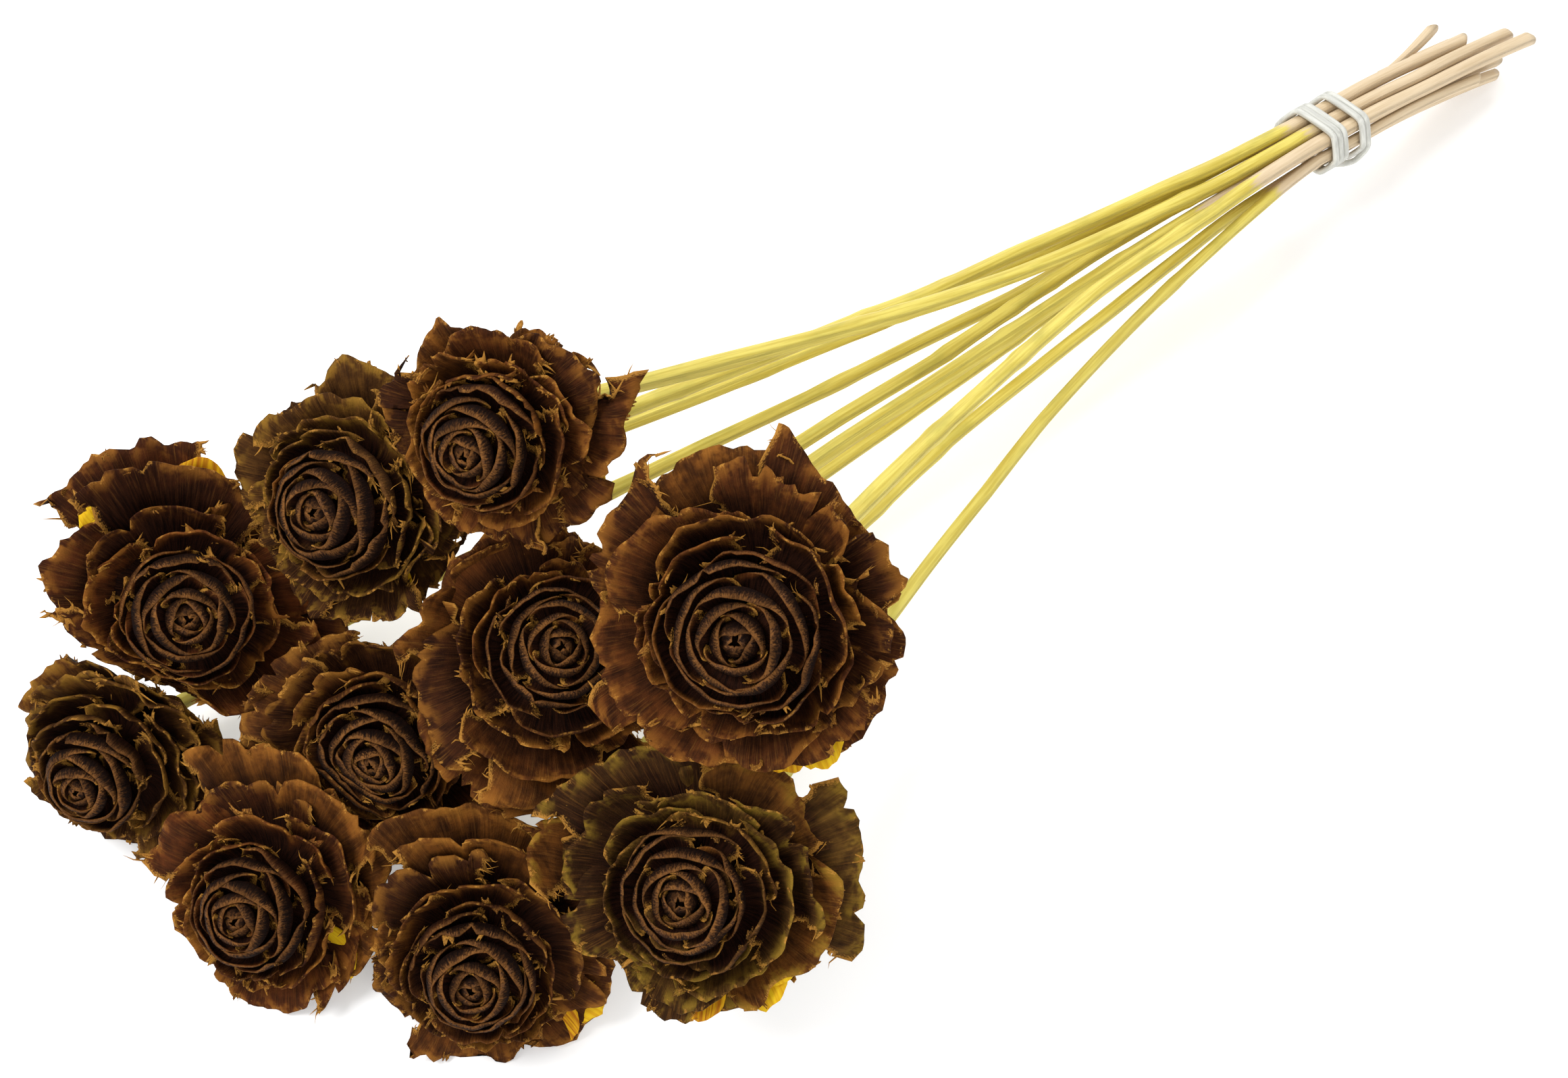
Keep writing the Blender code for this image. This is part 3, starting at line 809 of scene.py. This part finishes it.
class Nodes:
    """Short ways to add the nodes of one material."""

    def __init__(self, name):
        self.material = bpy.data.materials.new(name)
        self.material.use_nodes = True
        self.tree = self.material.node_tree
        self.shader = self.tree.nodes["Principled BSDF"]

    def add(self, kind, **settings):
        node = self.tree.nodes.new("ShaderNode" + kind)
        for name, value in settings.items():
            setattr(node, name, value)
        return node

    def feed(self, socket, value):
        if isinstance(value, bpy.types.NodeSocket):
            self.tree.links.new(value, socket)
        elif isinstance(value, tuple) and len(value) == 3 and socket.type == "RGBA":
            socket.default_value = (*value, 1)
        else:
            socket.default_value = value

    def mark(self, name, vector=False):
        node = self.add("Attribute", attribute_name=name)
        return node.outputs["Vector" if vector else "Fac"]

    def noise(self, grain, across, along, detail=3.0, roughness=0.55):
        """Noise drawn out along the grain: across and along say how finely it changes either way."""
        stretched = self.add("VectorMath", operation="MULTIPLY")
        self.feed(stretched.inputs[0], grain)
        self.feed(stretched.inputs[1], (across, along, 1.0))
        node = self.add("TexNoise")
        self.feed(node.inputs["Vector"], stretched.outputs[0])
        self.feed(node.inputs["Scale"], 1.0)
        self.feed(node.inputs["Detail"], detail)
        self.feed(node.inputs["Roughness"], roughness)
        return node.outputs["Fac"]

    def math(self, operation, a, b):
        node = self.add("Math", operation=operation)
        self.feed(node.inputs[0], a)
        self.feed(node.inputs[1], b)
        return node.outputs[0]

    def plus(self, a, b):
        return self.math("ADD", a, b)

    def times(self, a, b):
        return self.math("MULTIPLY", a, b)

    def ramp(self, value, low, high, to_low=0.0, to_high=1.0):
        """Maps low..high of a value smoothly to to_low..to_high."""
        node = self.add("MapRange", interpolation_type="SMOOTHSTEP")
        for socket, number in zip(node.inputs, (value, low, high, to_low, to_high)):
            self.feed(socket, number)
        return node.outputs[0]

    def mix(self, factor, a, b):
        node = self.add("Mix", data_type="RGBA")
        self.feed(node.inputs["Factor"], factor)
        self.feed(node.inputs[6], a)
        self.feed(node.inputs[7], b)
        return node.outputs[2]

    def shade(self, colour, roughness):
        self.feed(self.shader.inputs["Base Color"], colour)
        self.feed(self.shader.inputs["Roughness"], roughness)

    def bump(self, height, depth):
        node = self.add("Bump")
        self.feed(node.inputs["Height"], height)
        self.feed(node.inputs["Distance"], depth)
        self.feed(node.inputs["Strength"], 1.0)
        self.feed(self.shader.inputs["Normal"], node.outputs[0])


# Colours, in linear light: the roses, then their wings, the stems, the band and the floor.
# Near-black: the dark dye deep in the scales, with painted shade on it.
DEEP_DYE_AND_SHADE = (0.0055, 0.0026, 0.0020)
BROWN = (0.030, 0.010, 0.005)
WARM_BROWN = (0.135, 0.041, 0.010)
OLIVE = (0.130, 0.080, 0.015)
RED_BROWN = (0.150, 0.034, 0.009)
AMBER_BROWN = (0.200, 0.068, 0.012)
TORN_EDGE = (0.44, 0.205, 0.037)
# Painted highlights: the golden glow along the outer scales' rims.
GOLDEN_HIGHLIGHT = (0.275, 0.108, 0.017)
OLIVE_GOLD_HIGHLIGHT = (0.300, 0.215, 0.022)
DULL_BROWN = (0.050, 0.020, 0.007)
# Worn tan of the rims, made bright enough to serve as a painted highlight too.
WORN_TAN_AND_HIGHLIGHT = (0.190, 0.078, 0.021)
WORN_MAUVE = (0.055, 0.027, 0.018)
AMBER_WING = ((0.36, 0.11, 0.004), (0.68, 0.36, 0.008))
YELLOW_WING = ((0.58, 0.30, 0.006), (0.74, 0.48, 0.012))
YELLOW_DYE = ((0.52, 0.40, 0.045), (0.68, 0.57, 0.11))
# Painted shade: the olive of the stems' shaded sides, laid on in random blotches.
PAINTED_OLIVE_SHADE = (0.36, 0.31, 0.035)
BARE_STEM = ((0.56, 0.42, 0.25), (0.66, 0.52, 0.34))
RUBBER = ((0.44, 0.44, 0.40), (0.60, 0.60, 0.55))
FLOOR = (0.86, 0.86, 0.86)


def scale_material(name, tint):
    """Dyed woody scales: striped along the grain, dark inside from dye and painted shade, with worn tan backs,
    painted highlights along the rims, and torn sides.
    """
    nodes = Nodes("scales_of_" + name)
    grain = nodes.mark("grain", vector=True)
    to_rim, to_side, reach = (nodes.mark(mark) for mark in ("to_rim", "to_side", "reach"))
    stripes = nodes.noise(grain, 2.6, 0.16, 5.0, 0.65)
    veins = nodes.noise(grain, 1.3, 0.06, 2.0)
    blotches = nodes.noise(grain, 0.22, 0.22)
    specks = nodes.noise(grain, 3.5, 2.5, 2.0)
    patches = nodes.noise(grain, 0.55, 0.45)
    inner = nodes.ramp(reach, 0.62, 0.42)

    # The blade: dark in its depth, from the dye and from painted shade, and in its own tint towards its rim,
    # over a longer way on the outer scales.
    unshaded_tint = nodes.mix(abs(tint), WARM_BROWN, OLIVE if tint > 0 else RED_BROWN)
    unshaded_tint = nodes.mix(nodes.ramp(nodes.mark("tone"), 0.75, 1.0), unshaded_tint, AMBER_BROWN)
    unshaded_tint = nodes.mix(nodes.ramp(nodes.mark("tone"), 0.6, 0.0, 0.0, 0.75), unshaded_tint, BROWN)
    colour = nodes.mix(nodes.ramp(stripes, 0.32, 0.68), DEEP_DYE_AND_SHADE, BROWN)
    fade = nodes.ramp(reach, 0.4, 1.0, 2.5, 15.0)
    near_rim = nodes.ramp(nodes.math("DIVIDE", to_rim, fade), 1.0, 0.0)
    share = nodes.times(near_rim, nodes.ramp(blotches, 0.3, 0.7, 0.2, 1.0))
    share = nodes.times(share, nodes.ramp(veins, 0.36, 0.60, 0.68, 1.1))
    colour = nodes.mix(share, colour, unshaded_tint)
    fine = nodes.times(nodes.ramp(stripes, 0.50, 0.75), 0.2)
    colour = nodes.mix(nodes.times(fine, near_rim), colour, TORN_EDGE)

    # A painted highlight: a golden glow in places along the outer scales' rims.
    rim_highlight = nodes.times(nodes.ramp(to_rim, 4.5, 0.3), nodes.ramp(blotches, 0.46, 0.60, 0.0, 0.55))
    rim_highlight = nodes.times(rim_highlight, nodes.ramp(reach, 0.5, 0.7))
    colour = nodes.mix(rim_highlight, colour, nodes.mix(max(tint, 0), GOLDEN_HIGHLIGHT, OLIVE_GOLD_HIGHLIGHT))

    # The backs of the inner scales, which close over the bud: dull brown under painted shade, and worn tan
    # with a painted highlight next to the rim.
    wandering = nodes.plus(to_rim, nodes.ramp(specks, 0.2, 0.8, -0.8, 0.8))
    turned = nodes.times(nodes.mark("back"), inner)
    dull_and_shade = nodes.mix(nodes.ramp(stripes, 0.35, 0.65), DEEP_DYE_AND_SHADE, DULL_BROWN)
    # Painted shade: the backs grow dark away from the rim, down into the gaps.
    dull_and_shade = nodes.mix(nodes.ramp(wandering, 0.8, 2.6), dull_and_shade, DEEP_DYE_AND_SHADE)
    colour = nodes.mix(nodes.times(turned, nodes.ramp(wandering, 5.0, 2.0)), colour, dull_and_shade)
    # Real wear with a painted highlight: the worn tan lip, brightest at the rim.
    worn_and_highlight = nodes.mix(nodes.ramp(patches, 0.50, 0.62), WORN_TAN_AND_HIGHLIGHT, WORN_MAUVE)
    uneven = nodes.ramp(blotches, 0.35, 0.65, 0.4, 1.0)
    worn_lip_highlight = nodes.times(nodes.ramp(wandering, 1.4, -0.2), uneven)
    colour = nodes.mix(nodes.times(turned, worn_lip_highlight), colour, worn_and_highlight)

    # Thin worn rims in places, under a painted highlight, and torn orange sides.
    rim = nodes.times(nodes.ramp(wandering, 0.9, 0.0), nodes.ramp(patches, 0.52, 0.66, 0.0, 0.8))
    colour = nodes.mix(rim, colour, nodes.mix(inner, TORN_EDGE, WORN_TAN_AND_HIGHLIGHT))
    wandering = nodes.plus(to_side, nodes.ramp(specks, 0.2, 0.8, -0.8, 0.8))
    colour = nodes.mix(nodes.ramp(wandering, 1.5, 0.1, 0.0, 0.85), colour, TORN_EDGE)
    nodes.shade(colour, nodes.ramp(stripes, 0.3, 0.7, 0.55, 0.78))
    nodes.shader.inputs["Specular IOR Level"].default_value = 0.03
    nodes.bump(nodes.plus(stripes, nodes.times(specks, 0.5)), 0.35 * MM)
    return nodes.material


def wing_material():
    """Papery seed wings: amber or yellow, veined along their length."""
    nodes = Nodes("seed_wings")
    grain = nodes.mark("grain", vector=True)
    veins = nodes.noise(grain, 1.6, 0.1, 4.0)
    amber = nodes.mix(nodes.ramp(veins, 0.35, 0.65), *AMBER_WING)
    yellow = nodes.mix(nodes.ramp(veins, 0.35, 0.65), *YELLOW_WING)
    nodes.shade(nodes.mix(nodes.ramp(nodes.mark("tone"), 0.45, 0.55), amber, yellow), 0.6)
    nodes.shader.inputs["Specular IOR Level"].default_value = 0.1
    nodes.bump(veins, 0.1 * MM)
    return nodes.material


def stem_material():
    """Dried stems: yellow dye over beige wood, in stripes along the grain, with blotches of painted olive
    shade, and bare wood past the tie.
    """
    nodes = Nodes("dyed_stems")
    grain = nodes.mark("grain", vector=True)
    stripes = nodes.noise(grain, 1.1, 0.035, 5.0, 0.6)
    blotches = nodes.noise(grain, 0.15, 0.05)
    yellow = nodes.mix(nodes.ramp(stripes, 0.35, 0.65), *YELLOW_DYE)
    # Painted shade in random blotches, in the olive of the stems' shaded sides.
    yellow = nodes.mix(nodes.ramp(blotches, 0.52, 0.72, 0.0, 0.5), yellow, PAINTED_OLIVE_SHADE)
    bare = nodes.mix(nodes.ramp(stripes, 0.35, 0.65), *BARE_STEM)
    dyed = nodes.plus(nodes.mark("dyed"), nodes.ramp(stripes, 0.3, 0.7, -0.25, 0.25))
    colour = nodes.mix(nodes.ramp(dyed, 0.35, 0.65), bare, yellow)
    nodes.shade(colour, nodes.ramp(stripes, 0.3, 0.7, 0.45, 0.65))
    nodes.bump(stripes, 0.25 * MM)
    return nodes.material


def rubber_material():
    """Pale grey rubber, dusty and a little uneven."""
    nodes = Nodes("pale_rubber")
    dust = nodes.noise(nodes.mark("grain", vector=True), 0.8, 0.25, 4.0)
    nodes.shade(nodes.mix(nodes.ramp(dust, 0.35, 0.65), *RUBBER), nodes.ramp(dust, 0.3, 0.7, 0.4, 0.6))
    nodes.bump(dust, 0.1 * MM)
    return nodes.material


def dress(piece, node):
    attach(piece, "root")
    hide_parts(node)


def make_rose(rose, stem, tint, wing_places, wings):
    pile = Pile()
    planes = crowding_planes(rose)
    make_core(pile, rose, stem)
    for index in range(FIRST_SCALE, LAST_SCALE + 1):
        make_scale(pile, rose, index, planes)
    for number, (degrees, reach) in enumerate(wing_places):
        make_wing(pile, rose, number, degrees, reach, planes)
    piece = pile.make("cedar_" + rose.name, [scale_material(rose.name, tint), wings])
    dress(piece, rose.name)


def make_floor():
    """A white sheet that glows a little, so that shadows on it stay faint."""
    bpy.ops.mesh.primitive_plane_add(size=FLOOR_SIZE, location=(0, 0, 0))
    floor = bpy.context.object
    floor.name = "pale_floor"
    nodes = Nodes("pale_floor")
    nodes.shade(FLOOR, 0.9)
    nodes.feed(nodes.shader.inputs["Emission Color"], (1.0, 1.0, 1.0))
    nodes.feed(nodes.shader.inputs["Emission Strength"], FLOOR_GLOW)
    floor.data.materials.append(nodes.material)


def make_light(name, place, size, power):
    light = bpy.data.lights.new(name, "AREA")
    light.shape = "DISK"
    light.size = size
    light.energy = power
    lamp = bpy.data.objects.new(name, light)
    lamp.location = place
    lamp.rotation_euler = Vector(place).to_track_quat("Z", "Y").to_euler()
    bpy.context.scene.collection.objects.link(lamp)


def make_studio():
    """A white light tent: a bright sky all round and three large soft lamps."""
    world = bpy.data.worlds.new("studio")
    bpy.context.scene.world = world
    world.use_nodes = True
    background = world.node_tree.nodes["Background"]
    background.inputs["Color"].default_value = (1, 1, 1, 1)
    background.inputs["Strength"].default_value = SKY_STRENGTH
    for lamp in LAMPS:
        make_light(*lamp)
    bpy.context.scene.view_settings.view_transform = "Standard"


def make_camera():
    """The photograph's view: down on the bunch, past the roses and along the stems."""
    azimuth, elevation = math.radians(CAMERA_TURN), math.radians(CAMERA_DIP)
    right = Vector((math.cos(azimuth), math.sin(azimuth), 0))
    level = Vector((-math.sin(azimuth), math.cos(azimuth), 0))
    look = level * math.cos(elevation) - Vector((0, 0, 1)) * math.sin(elevation)
    data = bpy.data.cameras.new("camera")
    data.sensor_width = SENSOR
    data.lens = LENS
    data.clip_start = 0.01
    camera = bpy.data.objects.new("camera", data)
    turn = Matrix((right, right.cross(look), -look)).transposed().to_4x4()
    turn.translation = CAMERA_PLACE
    camera.matrix_world = turn
    bpy.context.scene.collection.objects.link(camera)
    bpy.context.scene.camera = camera


def main():
    wings = wing_material()
    dyed = stem_material()
    for rose, stem, tint, wing_places in zip(ROSES, STEMS, TINTS, WINGS):
        make_rose(rose, stem, tint, wing_places, wings)
        dress(make_stem(rose, stem, dyed), stem.name)
    dress(make_band(rubber_material()), "elastic_band")
    make_floor()
    make_studio()
    make_camera()


main()
